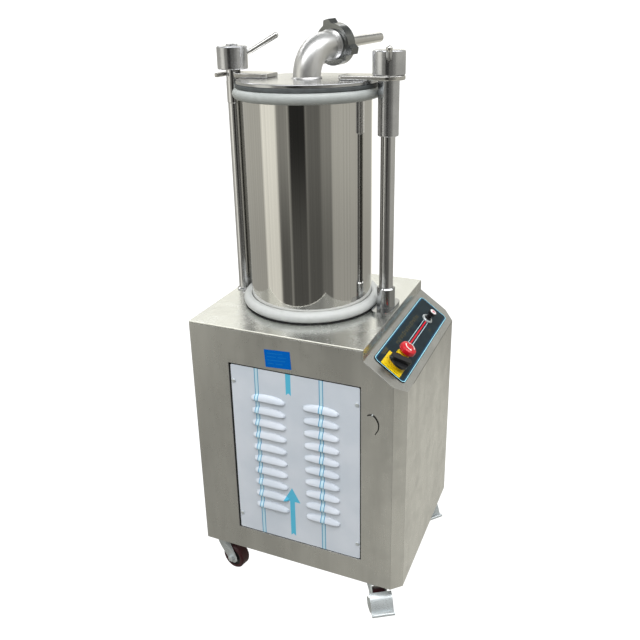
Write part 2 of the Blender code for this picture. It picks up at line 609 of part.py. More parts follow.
def make_controls(slope, machine):
    plate_low, plate_high = GAP, 0.0018
    outline = rounded_rectangle((0.0115, -0.1985), (0.0990, 0.182), 0.012)
    plate = solid("control_plate", prism(outline, plate_low, plate_high), LABEL, slope)
    cut(plate, merged(*[moved(disc(0.0113, -0.01, 0.01), (down, y, 0)) for down, y in CONTROLS]))

    face = plate_high + GAP
    shank, bezel = 0.011, 0.030
    estop = empty("estop_axis", slope, (*ESTOP, 0))
    collar = [(0.0053, -0.030), (shank, -0.030), (shank, face), (0.0155, face), (0.0155, face + 0.006)]
    collar += [(0.0135, face + 0.0115), (0.0053, face + 0.0115)]
    solid("estop_base", lathe(collar), YELLOW, estop)
    head = face + 0.017
    mushroom = [(0, -0.020), (0.005, -0.020), (0.005, head), (0.0165, head), (0.020, head + 0.004)]
    mushroom += [(0.020, head + 0.009), (0.0185, head + 0.0135), (0.012, head + 0.0165), (0, head + 0.0172)]
    solid("estop_button", lathe(mushroom), RED, estop)

    switch = empty("switch_axis", slope, (*SWITCH, 0))
    square = rounded_rectangle((-0.0300, -0.0300), (0.0225, 0.0310), 0.002, 2)
    mount = solid("switch_plate", prism(square, face, face + 0.0015), YELLOW, switch)
    add(mount, disc(0.0145, face + 0.001, face + 0.0125))
    add(mount, disc(shank, -bezel, face + 0.001))
    cut(mount, disc(0.0045, -0.04, 0.02))
    dial_low = face + 0.0125 + GAP
    dial_form = [(0, -0.020), (0.0042, -0.020), (0.0042, dial_low), (0.0235, dial_low)]
    dial_form += [(0.0225, dial_low + 0.005), (0, dial_low + 0.005)]
    dial = solid("switch_knob", lathe(dial_form), BLACK, switch)
    grip = rounded_rectangle((-0.0260, -0.0075), (0.0260, 0.0075), 0.005, 3)
    heading = Matrix.Rotation(math.radians(GRIP_HEADING), 3, "Z")
    add(dial, moved(prism(grip, dial_low + 0.001, dial_low + 0.0135), (0, 0, 0), heading))

    button = empty("button_axis", slope, (*BUTTON, 0))
    ring = [(0.0093, -0.022), (shank, -0.022), (shank, face), (0.0145, face), (0.0145, face + 0.003)]
    ring += [(0.0125, face + 0.005), (0.0093, face + 0.005)]
    solid("button_bezel", lathe(ring), ZINC, button)
    stalk = [(0, -0.012), (0.009, -0.012), (0.009, face + 0.004), (0.0068, face + 0.008)]
    stalk += [(0.0068, face + 0.0150), (0.0102, face + 0.0195), (0.0106, face + 0.0265)]
    stalk += [(0.0098, face + 0.0280), (0, face + 0.0280)]
    solid("push_button", lathe(stalk, 24), BLACK, button)

    nut_face = -WALL - GAP
    gland = lathe([(0, -0.010), (0.013, -0.010), (0.013, nut_face), (0.010, nut_face), (0.010, GAP),
                   (0.013, GAP), (0.013, 0.007), (0.0095, 0.0125), (0.005, 0.0125), (0.005, 0.004),
                   (0, 0.004)], 20)
    solid("cable_gland", moved(gland, GLAND_PLACE, Matrix.Rotation(-math.pi / 2, 3, "Y")), BLACK, machine)


# Casters -----------------------------------------------------------------------------------------

CASTERS = (
    ("front_left", (-0.181, -0.1885), -12, False),
    ("front_right", (0.240, -0.184), -58.4, True),
    ("back_right", (0.243, 0.184), -41, True),
    ("back_left", (-0.172, 0.178), 35, False),
)
FORK_INSIDE, FORK_PLATE = 0.017, 0.0025
AXLE_RADIUS = 0.005


# The pressed fork narrows from its round crown to the axle: centre, half width and half depth, height
# and the power of the section's outline, which is round at 2 and squarer above.
FORK_SECTIONS = (
    (0.0, 0.0275, 0.0265, 0.0882, 2),
    (0.0, 0.0285, 0.0265, 0.0800, 2),
    (0.006, 0.0300, 0.0250, 0.0680, 2.3),
    (0.014, 0.0290, 0.0215, 0.0520, 3),
    (0.023, 0.0255, 0.0200, 0.0390, 4),
    (TRAIL, 0.0205, 0.0197, 0.0290, 4.5),
    (TRAIL, 0.0110, 0.0195, 0.0200, 4.5),
)
FORK_HEAD = 0.0795


def fork_shell(inset, top):
    """A solid through the fork's sections, taken in by inset and cut off level at the top."""
    bm = bmesh.new()
    rings = []
    for centre, half_x, half_y, height, power in FORK_SECTIONS:
        ring = []
        for step in range(20):
            turn = math.tau * step / 20
            c, s = math.cos(turn), math.sin(turn)
            x = centre + (half_x - inset) * math.copysign(abs(c) ** (2 / power), c)
            y = (half_y - inset) * math.copysign(abs(s) ** (2 / power), s)
            ring.append(bm.verts.new((x, y, min(height, top))))
        rings.append(ring)
    for upper, lower in zip(rings, rings[1:]):
        for step in range(20):
            after = (step + 1) % 20
            bm.faces.new((upper[step], upper[after], lower[after], lower[step]))
    bm.faces.new(rings[0])
    bm.faces.new(rings[-1])
    return bm


def make_caster(name, place, heading, braked, machine):
    """A swivel caster; its wheel trails along +X of the swivel's own frame."""
    top = CASTER_HEIGHT - GAP
    turn = Matrix.Rotation(math.radians(heading), 3, "Z")
    mount = empty(f"{name}_mount", machine, (*place, 0))
    swivel = empty(f"{name}_swivel", mount, (0, 0, 0), turn)
    axle = empty(f"{name}_axle", swivel, (TRAIL, 0, WHEEL_RADIUS))

    flange = block((-0.030, -0.026, top - 0.003), (0.030, 0.026, top))
    plate = solid(f"caster_plate_{name}", flange, ZINC, mount)
    add(plate, disc(0.021, 0.0885, top - 0.001))

    fork = solid(f"caster_fork_{name}", fork_shell(0, 0.0882), ZINC, swivel)
    cut(fork, block((-0.05, -FORK_INSIDE, 0), (0.08, FORK_INSIDE, FORK_HEAD)))
    cut(fork, fork_shell(FORK_PLATE, FORK_HEAD))
    reach = FORK_INSIDE + FORK_PLATE
    half_bolt = [(0, reach + 0.005), (0.0075, reach + 0.005), (0.0075, reach - 0.001),
                 (AXLE_RADIUS, reach - 0.001)]
    bolt = [(radius, -height) for radius, height in half_bolt] + half_bolt[::-1]
    add(fork, moved(lathe(bolt, 10), (TRAIL, 0, WHEEL_RADIUS), Matrix.Rotation(math.pi / 2, 3, "X")))

    half = WHEEL_WIDTH / 2
    hub = AXLE_RADIUS + GAP
    dish = WHEEL_RADIUS - 0.0105
    rim = [(hub, -half), (0.013, -half), (0.014, -half + 0.003), (dish, -half + 0.003), (dish + 0.001, -half)]
    rim += [(WHEEL_RADIUS - 0.003, -half), (WHEEL_RADIUS, -half + 0.004)]
    profile = rim + [(radius, -height) for radius, height in reversed(rim)]
    wheel = moved(lathe(profile, 24), (0, 0, 0), Matrix.Rotation(math.pi / 2, 3, "X"))
    solid(f"caster_wheel_{name}", wheel, TREAD, axle)
    if braked:
        make_brake_pedal(name, axle)


def make_brake_pedal(name, axle):
    """The brake: ears on the axle, and a bent plate round the wheel with a rolled foot lip."""
    inner = FORK_INSIDE + FORK_PLATE + 0.0062
    outer = inner + 0.002
    guard, sheet = WHEEL_RADIUS + 0.004, 0.0022
    roll, roll_radius = (0.0515, 0.0055), 0.0042
    inside = arc((0, 0), guard, 72, 16, 6) + [(guard + 0.0015, 0.003)]
    inside += arc(roll, roll_radius, -115, 95, 7)
    outside = arc((0, 0), guard + sheet, 72, 20, 6) + [(guard + 0.0042, 0.0055)]
    outside += arc(roll, roll_radius - sheet, -125, 95, 7)
    pedal = solid(f"brake_pedal_{name}", prism(inside + outside[::-1], -outer, outer, "Y"), ZINC, axle)
    for side in (-1, 1):
        middle = guard + sheet / 2
        ear = arc((0, 0), 0.0125, 90, 270, 8) + [(0.026, -0.009)]
        ear += arc((0, 0), middle, 18, 55, 1)
        low, high = sorted((side * inner, side * outer))
        add(pedal, prism(ear, low, high, "Y"))


# Assembly ----------------------------------------------------------------------------------------


def main():
    clear_scene()
    machine = empty("machine", None, (AXIS_X, AXIS_Y, 0))
    fall = math.atan2(SLOPE_HEAD - SLOPE_FOOT, RIGHT - TOP_RIGHT)
    slope = empty("slope_frame", machine, (TOP_RIGHT, 0, SLOPE_HEAD), Matrix.Rotation(fall, 3, "Y"))

    make_cabinet(machine, slope)
    make_front_panel(machine)
    make_barrel(machine)
    make_piston(machine)
    make_power_pack(machine)
    make_columns(machine)

    pivot = empty("lid_frame", machine)
    end, direction = pipe_path()[-1]
    across = Vector((math.cos(OUTLET_TURN), -math.sin(OUTLET_TURN), 0))
    aim = Matrix((across, direction.cross(across) * -1, direction)).transposed()
    outlet = empty("outlet_frame", pivot, end, aim)
    make_lid(machine, pivot, outlet)

    left = empty("left_knob_axis", machine, (COLUMN_LEFT, 0, 0))
    right = empty("right_knob_axis", machine, (COLUMN_RIGHT, 0, 0))
    make_knob("left", left, 1.2770, 0.0360, 36, 29, THREAD_RADIUS + GAP, True)
    make_knob("right", right, BAR_TOP + GAP, 0.0360, -72, 18, COLUMN_RADIUS + GAP, False)
    make_controls(slope, machine)
    for name, place, heading, braked in CASTERS:
        make_caster(name, place, heading, braked, machine)


main()
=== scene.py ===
"""Looks of the hydraulic sausage stuffer: finishes, prints, small fittings, light and camera."""

import math

import bmesh
import bpy
from mathutils import Matrix, Vector


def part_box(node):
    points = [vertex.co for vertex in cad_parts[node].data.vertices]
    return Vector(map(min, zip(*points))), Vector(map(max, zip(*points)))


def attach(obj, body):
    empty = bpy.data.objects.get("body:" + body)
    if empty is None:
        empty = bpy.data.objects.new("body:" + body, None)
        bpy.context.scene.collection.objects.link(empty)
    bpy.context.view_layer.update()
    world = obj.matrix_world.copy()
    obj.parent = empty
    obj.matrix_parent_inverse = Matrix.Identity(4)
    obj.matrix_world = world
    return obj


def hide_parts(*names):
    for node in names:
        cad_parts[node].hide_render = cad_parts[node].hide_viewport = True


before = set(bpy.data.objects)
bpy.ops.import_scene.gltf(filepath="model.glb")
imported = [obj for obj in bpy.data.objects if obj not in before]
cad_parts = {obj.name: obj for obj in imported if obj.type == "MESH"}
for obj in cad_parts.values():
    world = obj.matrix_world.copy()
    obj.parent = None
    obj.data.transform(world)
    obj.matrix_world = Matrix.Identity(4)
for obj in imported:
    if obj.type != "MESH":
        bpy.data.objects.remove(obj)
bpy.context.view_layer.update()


# Places, in metres, from the barrel's axis at floor level.
BARREL = sum(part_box("barrel"), Vector()) / 2
BARREL.z = 0
CABINET_BOTTOM, CABINET_TOP, CABINET_RIGHT = 0.103, 0.7253, 0.3157
FRONT = -0.2338
PANEL_LOW, PANEL_HIGH = (-0.1135, 0.1673), (0.2165, 0.6353)
PANEL_FACE = FRONT + 0.0014
LOUVRE_COLUMNS, LOUVRE_ROWS = (-0.014, 0.120), 10
LOUVRE_TOP, LOUVRE_PITCH = 0.551, 0.0333
SLOPE_ORIGIN = Vector((0.222, 0, 0.6986))
SLOPE_TURN = math.radians(35.607)
LABEL_LOW, LABEL_HIGH, LABEL_CORNER = (0.0115, -0.1985), (0.0990, 0.182), 0.012
LABEL_FACE = 0.0018
SWITCH, ESTOP, BUTTON = (0.060, -0.1645), (0.0595, -0.117), (0.0585, 0.101)
ESTOP_HEAD, BUTTON_TOP = LABEL_FACE + 0.0173, LABEL_FACE + 0.0283
HUB_RADIUS = 0.0275
CASTERS = {  # each fork's heading in degrees, and whether it has a brake
    "front_left": (-12, False),
    "front_right": (-58.4, True),
    "back_right": (-41, True),
    "back_left": (35, False),
}


# Shading helpers ---------------------------------------------------------------------------------


def srgb(red, green, blue):
    """A colour given as it looks on screen, 0 to 255, as linear light."""
    def linear(value):
        share = value / 255
        return share / 12.92 if share <= 0.04045 else ((share + 0.055) / 1.055) ** 2.4
    return (linear(red), linear(green), linear(blue), 1)


class Graph:
    """Builds a node tree as arithmetic on sockets."""

    def __init__(self, tree):
        self.tree = tree

    def node(self, kind, **settings):
        made = self.tree.nodes.new(kind)
        for key, value in settings.items():
            setattr(made, key, value)
        return made

    def feed(self, socket, value):
        if isinstance(value, bpy.types.NodeSocket):
            self.tree.links.new(value, socket)
        else:
            socket.default_value = value

    def math(self, operation, *values, clamp=False):
        step = self.node("ShaderNodeMath", operation=operation, use_clamp=clamp)
        for socket, value in zip(step.inputs, values):
            self.feed(socket, value)
        return step.outputs[0]

    def mix(self, share, low, high, blend="MIX"):
        step = self.node("ShaderNodeMix", data_type="RGBA", blend_type=blend)
        for index, value in ((0, share), (6, low), (7, high)):
            self.feed(step.inputs[index], value)
        return step.outputs[2]

    def spread(self, value, low, high, out_low=0.0, out_high=1.0):
        step = self.node("ShaderNodeMapRange", interpolation_type="SMOOTHSTEP")
        for index, item in enumerate((value, low, high, out_low, out_high)):
            self.feed(step.inputs[index], item)
        return step.outputs[0]

    def place(self):
        """The point being shaded, in the row frame."""
        return self.node("ShaderNodeTexCoord").outputs["Object"]

    def split(self, vector):
        step = self.node("ShaderNodeSeparateXYZ")
        self.feed(step.inputs[0], vector)
        return step.outputs

    def stretched(self, vector, scale):
        step = self.node("ShaderNodeVectorMath", operation="MULTIPLY")
        self.feed(step.inputs[0], vector)
        step.inputs[1].default_value = scale
        return step.outputs[0]

    def noise(self, vector, scale, detail=2.0, rough=0.5):
        step = self.node("ShaderNodeTexNoise")
        self.feed(step.inputs["Vector"], vector)
        step.inputs["Scale"].default_value = scale
        step.inputs["Detail"].default_value = detail
        step.inputs["Roughness"].default_value = rough
        return step.outputs[0]

    def bump(self, height, distance, normal=None):
        step = self.node("ShaderNodeBump")
        step.inputs["Distance"].default_value = distance
        self.feed(step.inputs["Height"], height)
        if normal:
            self.feed(step.inputs["Normal"], normal)
        return step.outputs[0]


def shader_of(made):
    return made.node_tree.nodes["Principled BSDF"]


def material(name):
    """A new Principled material with its graph and shader node."""
    made = bpy.data.materials.new(name)
    made.use_nodes = True
    return made, Graph(made.node_tree), shader_of(made)


def steel(name, colour, roughness, grain=(1, 1, 1), grain_depth=0.0, wave_depth=0.0, stain=0.12):
    """Stainless steel: brushed along the axis whose grain factor is small, a little wavy and smudged."""
    made, graph, shader = material(name)
    place = graph.place()
    sweep = graph.stretched(place, tuple(max(part, 0.2) for part in grain))
    cloud = graph.noise(sweep, 9.0, 4.0, 0.6)
    lines = graph.noise(graph.stretched(place, grain), 900.0, 2.0, 0.6)
    darker = tuple(part * (1 - stain) for part in colour[:3]) + (1,)
    graph.feed(shader.inputs["Base Color"], graph.mix(graph.spread(cloud, 0.35, 0.65), darker, colour))
    shader.inputs["Metallic"].default_value = 1
    smudge = graph.spread(graph.noise(place, 23.0, 5.0, 0.65), 0.4, 0.75, roughness, roughness * 1.35)
    rough = graph.math("MULTIPLY_ADD", lines, roughness * 0.5, smudge)
    graph.feed(shader.inputs["Roughness"], graph.math("SUBTRACT", rough, roughness * 0.25))
    normal = graph.bump(graph.noise(sweep, 6.0, 2.0, 0.4), wave_depth) if wave_depth else None
    if grain_depth:
        normal = graph.bump(lines, grain_depth, normal)
    if normal:
        graph.feed(shader.inputs["Normal"], normal)
    return made


def plastic(name, colour, roughness, mottle=0.06, coat=0.0, scale=60.0, shine=0.5):
    """Moulded plastic, rubber or paint, with a faint mottle and a fine texture."""
    made, graph, shader = material(name)
    place = graph.place()
    grime = graph.noise(place, scale, 3.0, 0.55)
    worn = tuple(part * (1 - mottle) for part in colour[:3]) + (1,)
    graph.feed(shader.inputs["Base Color"], graph.mix(graph.spread(grime, 0.35, 0.65), worn, colour))
    graph.feed(shader.inputs["Roughness"], graph.spread(grime, 0.3, 0.7, roughness, roughness * 1.2))
    shader.inputs["Coat Weight"].default_value = coat
    shader.inputs["Specular IOR Level"].default_value = shine
    graph.feed(shader.inputs["Normal"], graph.bump(graph.noise(place, 1400.0), 0.00004))
    return made


# Finishes ----------------------------------------------------------------------------------------

# The film's stripes and arrows, across the panel and up it: an arrow has its tip, neck and foot.
STRIPES = (-0.042, 0.121)
ARROW_X = 0.0395
ARROWS = (
    (CABINET_BOTTOM + 0.221, CABINET_BOTTOM + 0.182, CABINET_BOTTOM + 0.081),
    (CABINET_BOTTOM + 0.560, CABINET_BOTTOM + 0.532, CABINET_BOTTOM + 0.474),
)
# The label's long lines: middle, half width and colour.
PALE_LINE = srgb(196, 222, 232)
LABEL_LINES = ((0.0535, 0.0007, PALE_LINE), (0.0595, 0.0017, srgb(214, 34, 52)), (0.0655, 0.0007, PALE_LINE))


def within(graph, value, low, high, soft=0.0003):
    """1 where value lies between low and high."""
    rise = graph.spread(value, low - soft, low + soft)
    fall = graph.spread(value, high + soft, high - soft)
    return graph.math("MULTIPLY", rise, fall)


def film_finish():
    """The front panel: steel under a bluish film, printed with stripes and arrows."""
    made, graph, shader = material("panel_film_looks")
    place = graph.place()
    x, _, z = graph.split(place)
    teal, line_blue, pale = srgb(92, 200, 236), srgb(66, 160, 206), srgb(204, 234, 248)
    cloud = graph.spread(graph.noise(place, 9.0, 4.0), 0.35, 0.7)
    base = graph.mix(cloud, srgb(218, 227, 239), srgb(229, 236, 247))
    line, core = 0.0, 0.0
    for middle in STRIPES:
        off = graph.math("ABSOLUTE", graph.math("SUBTRACT", x, middle + BARREL.x))
        core = graph.math("MAXIMUM", core, within(graph, off, -1, 0.0035))
        line = graph.math("MAXIMUM", line, within(graph, off, 0.0032, 0.0052))
    arrow = 0.0
    centre = graph.math("ABSOLUTE", graph.math("SUBTRACT", x, ARROW_X + BARREL.x))
    for tip, head, foot in ARROWS:
        notch = graph.math("MULTIPLY_ADD", centre, 0.9, -0.0060)
        shaft = graph.math("MULTIPLY", within(graph, centre, -1, 0.0065),
                           within(graph, graph.math("ADD", z, notch), foot, head + 0.001))
        room = graph.math("MULTIPLY", graph.math("SUBTRACT", tip, z), 0.0215 / (tip - head))
        barb = graph.math("MULTIPLY", graph.spread(graph.math("SUBTRACT", room, centre), -0.0003, 0.0003),
                          within(graph, z, head, tip))
        arrow = graph.math("MAXIMUM", arrow, graph.math("MAXIMUM", shaft, barb))
    colour = graph.mix(core, base, pale)
    colour = graph.mix(line, colour, line_blue)
    colour = graph.mix(arrow, colour, teal)
    graph.feed(shader.inputs["Base Color"], colour)
    graph.feed(shader.inputs["Roughness"], graph.spread(graph.noise(place, 30.0), 0.3, 0.7, 0.30, 0.42))
    shader.inputs["Coat Weight"].default_value = 0.25
    graph.feed(shader.inputs["Normal"], graph.bump(graph.noise(place, 18.0, 3.0), 0.0006))
    return made


def label_finish():
    """The control plate: dark, with light border lines and three lines between its controls."""
    made, graph, shader = material("control_label_looks")
    place = graph.place()
    x, y, z = graph.split(place)
    along = graph.math("MULTIPLY", graph.math("SUBTRACT", x, SLOPE_ORIGIN.x + BARREL.x), math.cos(SLOPE_TURN))
    drop = graph.math("MULTIPLY", graph.math("SUBTRACT", SLOPE_ORIGIN.z, z), math.sin(SLOPE_TURN))
    down = graph.math("ADD", along, drop)
    across = graph.math("SUBTRACT", y, BARREL.y)
    outside = []
    for value, low, high in zip((down, across), LABEL_LOW, LABEL_HIGH):
        from_middle = graph.math("ABSOLUTE", graph.math("SUBTRACT", value, (low + high) / 2))
        outside.append(graph.math("SUBTRACT", from_middle, (high - low) / 2 - LABEL_CORNER))
    corner = [graph.math("MAXIMUM", value, 0.0) for value in outside]
    squares = [graph.math("MULTIPLY", value, value) for value in corner]
    reach = graph.math("SQRT", graph.math("ADD", *squares))
    inner = graph.math("MINIMUM", graph.math("MAXIMUM", *outside), 0.0)
    edge = graph.math("SUBTRACT", LABEL_CORNER, graph.math("ADD", reach, inner))
    cloud = graph.spread(graph.noise(place, 40.0, 3.0), 0.3, 0.7)
    colour = graph.mix(cloud, srgb(20, 34, 42), srgb(28, 44, 51))
    # The thin dark rim at the plate's outer edge is painted shadow; the light and blue border lines inside it
    # are print.
    colour = graph.mix(within(graph, edge, -1, 0.0009), colour, srgb(8, 20, 28))
    colour = graph.mix(within(graph, edge, 0.0012, 0.0030), colour, srgb(168, 232, 252))
    colour = graph.mix(within(graph, edge, 0.0046, 0.0056), colour, srgb(24, 92, 140))
    between = within(graph, across, -0.098, 0.090)
    for middle, half, line in LABEL_LINES:
        stroke = graph.math("MULTIPLY", between, within(graph, down, middle - half, middle + half))
        colour = graph.mix(stroke, colour, line)
    graph.feed(shader.inputs["Base Color"], colour)
    shader.inputs["Roughness"].default_value = 0.30
    shader.inputs["Specular IOR Level"].default_value = 0.2
    graph.feed(shader.inputs["Normal"], graph.bump(graph.noise(place, 25.0), 0.0003))
    return made


def wheel_finish(name, centre):
    """A caster wheel: black hub inside a dark red tread."""
    made, graph, shader = material(name)
    place = graph.place()
    off = graph.node("ShaderNodeVectorMath", operation="DISTANCE")
    graph.feed(off.inputs[0], place)
    off.inputs[1].default_value = centre
    tread = graph.spread(off.outputs["Value"], HUB_RADIUS, HUB_RADIUS + 0.001)
    graph.feed(shader.inputs["Base Color"], graph.mix(tread, srgb(22, 20, 22), srgb(58, 18, 25)))
    graph.feed(shader.inputs["Roughness"], graph.spread(graph.noise(place, 80.0), 0.3, 0.7, 0.32, 0.5))
    return made


def zinc_finish():
    """Zinc plate: a bright steel that is only partly metallic."""
    made = steel("zinc_looks", srgb(222, 229, 232), 0.28, (1, 1, 1), 0.00001, 0.0004, 0.18)
    shader_of(made).inputs["Metallic"].default_value = 0.55
    return made


GREY_STEEL = (0.81, 0.81, 0.79, 1)
BRIGHT_STEEL = (0.88, 0.87, 0.85, 1)
UP, SIDE = (1, 1, 0.02), (0.02, 1, 1)

FINISHES = {
    "cabinet_steel": steel("cabinet_steel_looks", GREY_STEEL, 0.28, UP, 0.00002, 0.0030, 0.16),
    "polished_steel": steel("polished_steel_looks", BRIGHT_STEEL, 0.05, UP, 0.0, 0.0, 0.03),
    "cast_steel": steel("cast_steel_looks", BRIGHT_STEEL, 0.20, SIDE, 0.00001, 0.0004, 0.08),
    "zinc": zinc_finish(),
    "white_nylon": plastic("white_nylon_looks", srgb(226, 229, 232), 0.38, 0.03),
    # Black rubber, also used for the black strips and ring that are painted shade.
    "black_rubber": plastic("black_rubber_looks", srgb(34, 34, 36), 0.6, 0.2),
    "wheel_tread": plastic("wheel_tread_looks", srgb(92, 22, 30), 0.4, 0.2),
    "panel_film": film_finish(),
    "control_label": label_finish(),
    "yellow_plastic": plastic("yellow_plastic_looks", srgb(240, 205, 10), 0.38, 0.08, 0.2),
    "red_plastic": plastic("red_plastic_looks", srgb(205, 22, 38), 0.30, 0.08, 0.4),
    "black_plastic": plastic("black_plastic_looks", srgb(26, 27, 30), 0.35, 0.2, 0.2),
    "grey_plastic": plastic("grey_plastic_looks", srgb(150, 152, 155), 0.5),
    "blue_paint": plastic("blue_paint_looks", srgb(40, 82, 130), 0.45, 0.1),
}

BEVELS = {
    "cabinet_shell": 0.0012, "top_plate": 0.0008, "lid": 0.0008, "fork_bar": 0.001, "front_panel": 0.0004,
    "left_knob": 0.001, "right_knob": 0.001, "barrel_bottom_ring": 0.003, "barrel_top_ring": 0.003,
    "lid_gasket": 0.001, "hinge_arm": 0.001, "pivot_sleeve": 0.001, "right_column": 0.0008,
}


def dress(node, finish):
    """Gives a CAD node its finish, soft edges and smooth shading, leaving its vertices alone."""
    mesh = node.data
    for name in ("custom_normal", "sharp_edge", "sharp_face"):
        found = mesh.attributes.get(name)
        if found:
            mesh.attributes.remove(found)
    mesh.shade_smooth()
    mesh.materials.clear()
    mesh.materials.append(finish)
    weld = node.modifiers.new("weld", "WELD")
    weld.merge_threshold = 0.00002
    flat = node.modifiers.new("flat", "DECIMATE")
    flat.decimate_type = "DISSOLVE"
    flat.angle_limit = math.radians(0.3)
    edges = node.modifiers.new("edges", "BEVEL")
    edges.width = BEVELS.get(node.name, 0.0004)
    edges.segments = 2
    edges.limit_method = "ANGLE"
    edges.angle_limit = math.radians(32)
    shading = node.modifiers.new("shading", "WEIGHTED_NORMAL")
    shading.keep_sharp = False
    shading.weight = 80


def column_finish(name, axis_x, towards):
    """A column's steel, with a painted dark reflection on the side towards the barrel."""
    made = steel(name, (0.90, 0.90, 0.92, 1), 0.14, SIDE, 0.0, 0.0, 0.10)
    graph = Graph(made.node_tree)
    shader = shader_of(made)
    bright = shader.inputs["Base Color"].links[0].from_socket
    x, _, _ = graph.split(graph.place())
    off = graph.math("MULTIPLY", graph.math("SUBTRACT", x, axis_x + BARREL.x), towards)
    # Painted dark reflection: the steel turns near black on the side that faces the barrel.
    painted_dark_side = graph.spread(off, 0.008, 0.015)
    graph.feed(shader.inputs["Base Color"], graph.mix(painted_dark_side, bright, (0.16, 0.16, 0.155, 1)))
    return made


KNOB_STEEL = steel("knob_looks", (0.86, 0.87, 0.91, 1), 0.22, SIDE, 0.0, 0.0003, 0.2)
OWN_FINISH = {
    "left_column": column_finish("left_column_looks", -0.1897, 1),
    "right_column": column_finish("right_column_looks", 0.1941, -1),
    "lid": steel("lid_looks", (0.74, 0.75, 0.77, 1), 0.20, SIDE, 0.00001, 0.0004, 0.08),
    "lid_gasket": plastic("gasket_looks", srgb(92, 97, 99), 0.5, 0.2),
    "top_plate": steel("top_plate_looks", (0.85, 0.86, 0.83, 1), 0.22, UP, 0.000006, 0.0010, 0.06),
    "right_column_foot": steel("column_foot_looks", (0.66, 0.67, 0.68, 1), 0.12, SIDE, 0.0, 0.0003, 0.2),
    # Both rings are one white nylon; the top ring's darker grey is painted shade from the lid above it.
    "barrel_top_ring": plastic("top_ring_painted_shade_looks", srgb(180, 185, 184), 0.34, 0.06),
    "barrel_bottom_ring": plastic("bottom_ring_looks", srgb(200, 203, 202), 0.34, 0.05),
    "elbow_pipe": steel("elbow_looks", (0.97, 0.97, 0.97, 1), 0.34, (1, 1, 1), 0.00001, 0.0, 0.06),
    "union_nut": steel("nut_looks", (0.30, 0.31, 0.31, 1), 0.18, (1, 1, 1), 0.00002, 0.0004, 0.2),
    "left_knob": KNOB_STEEL, "right_knob": KNOB_STEEL, "pivot_sleeve": KNOB_STEEL,
}

for node_name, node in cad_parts.items():
    chosen = OWN_FINISH.get(node_name, FINISHES[node.material_slots[0].material.name])
    if node_name.startswith("caster_wheel"):
        low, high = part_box(node_name)
        chosen = wheel_finish(f"{node_name}_looks", (low + high) / 2)
    dress(node, chosen)


# Small pieces ------------------------------------------------------------------------------------


def piece(name, bm, finish, body="cabinet", place=None, sharp=35):
    """Puts a bmesh into the scene as a piece that rides on a body."""
    if place:
        bmesh.ops.transform(bm, matrix=place, verts=bm.verts)
    bmesh.ops.recalc_face_normals(bm, faces=bm.faces)
    mesh = bpy.data.meshes.new(name)
    bm.to_mesh(mesh)
    bm.free()
    mesh.shade_smooth()
    mesh.set_sharp_from_angle(angle=math.radians(sharp))
    mesh.materials.append(finish)
    made = bpy.data.objects.new(name, mesh)
    bpy.context.scene.collection.objects.link(made)
    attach(made, body)
    return made


def extrude(bm, outline, low, high):
    """Adds a plate to bm: a flat outline given thickness along Z."""
    base = [bm.verts.new((a, b, low)) for a, b in outline]
    top = [bm.verts.new((a, b, high)) for a, b in outline]
    count = len(outline)
    bm.faces.new(base[::-1])
    bm.faces.new(top)
    for step in range(count):
        after = (step + 1) % count
        bm.faces.new((base[step], base[after], top[after], top[step]))
    return bm


def plates(outlines, low, high):
    bm = bmesh.new()
    for outline in outlines:
        extrude(bm, outline, low, high)
    return bm


def lathe(profile, steps=32):
    """An open profile of (radius, height) points turned once about Z."""
    bm = bmesh.new()
    line = [bm.verts.new((radius, 0, height)) for radius, height in profile]
    edges = [bm.edges.new(pair) for pair in zip(line, line[1:])]
    bmesh.ops.spin(bm, geom=line + edges, cent=(0, 0, 0), axis=(0, 0, 1), angle=math.tau, steps=steps)
    bmesh.ops.remove_doubles(bm, verts=bm.verts, dist=1e-6)
    return bm


def arc(centre, radius, start, end, steps):
    turns = [math.radians(start + (end - start) * step / steps) for step in range(steps + 1)]
    return [(centre[0] + radius * math.cos(turn), centre[1] + radius * math.sin(turn)) for turn in turns]


def rounded(low, high, radius, steps=5):
    """The outline of a rectangle with rounded corners."""
    left, right = low[0] + radius, high[0] - radius
    bottom, top = low[1] + radius, high[1] - radius
    outline = []
    for spot, start in (((right, top), 0), ((left, top), 90), ((left, bottom), 180), ((right, bottom), 270)):
        outline += arc(spot, radius, start, start + 90, steps)
    return outline


def bar(low, high):
    return [low, (high[0], low[1]), high, (low[0], high[1])]


# On the front, local X is right, Y is up and Z comes out of the cabinet; on the slope, X is down it.
ON_FRONT = Matrix.Translation(BARREL + Vector((0, FRONT, 0))) @ Matrix.Rotation(math.pi / 2, 4, "X")
ON_SLOPE = Matrix.Translation(BARREL + SLOPE_ORIGIN) @ Matrix.Rotation(SLOPE_TURN, 4, "Y")


def on_slope(spot, height=0.0):
    return ON_SLOPE @ Matrix.Translation((*spot, height))


def louvre(bm, middle, base):
    """A pressed hood, open along its lower edge and rounded off at both ends."""
    half, depth, height = 0.0445, 0.0080, 0.0172
    rows, columns = 9, 30
    grid = []
    for row in range(rows + 1):
        share = row / rows
        line = []
        for column in range(columns + 1):
            u = -1 + 2 * column / columns
            low = base + 0.0012 * abs(u) ** 6
            high = base + height - 0.0105 * abs(u) ** 3
            swell = (1 - abs(u) ** 6) ** 0.55 * (1 - share ** 2.2) ** 0.9
            line.append(bm.verts.new((middle + half * u, low + (high - low) * share, depth * swell)))
        grid.append(line)
    for lower, upper in zip(grid, grid[1:]):
        for column in range(columns):
            bm.faces.new((lower[column], lower[column + 1], upper[column + 1], upper[column]))


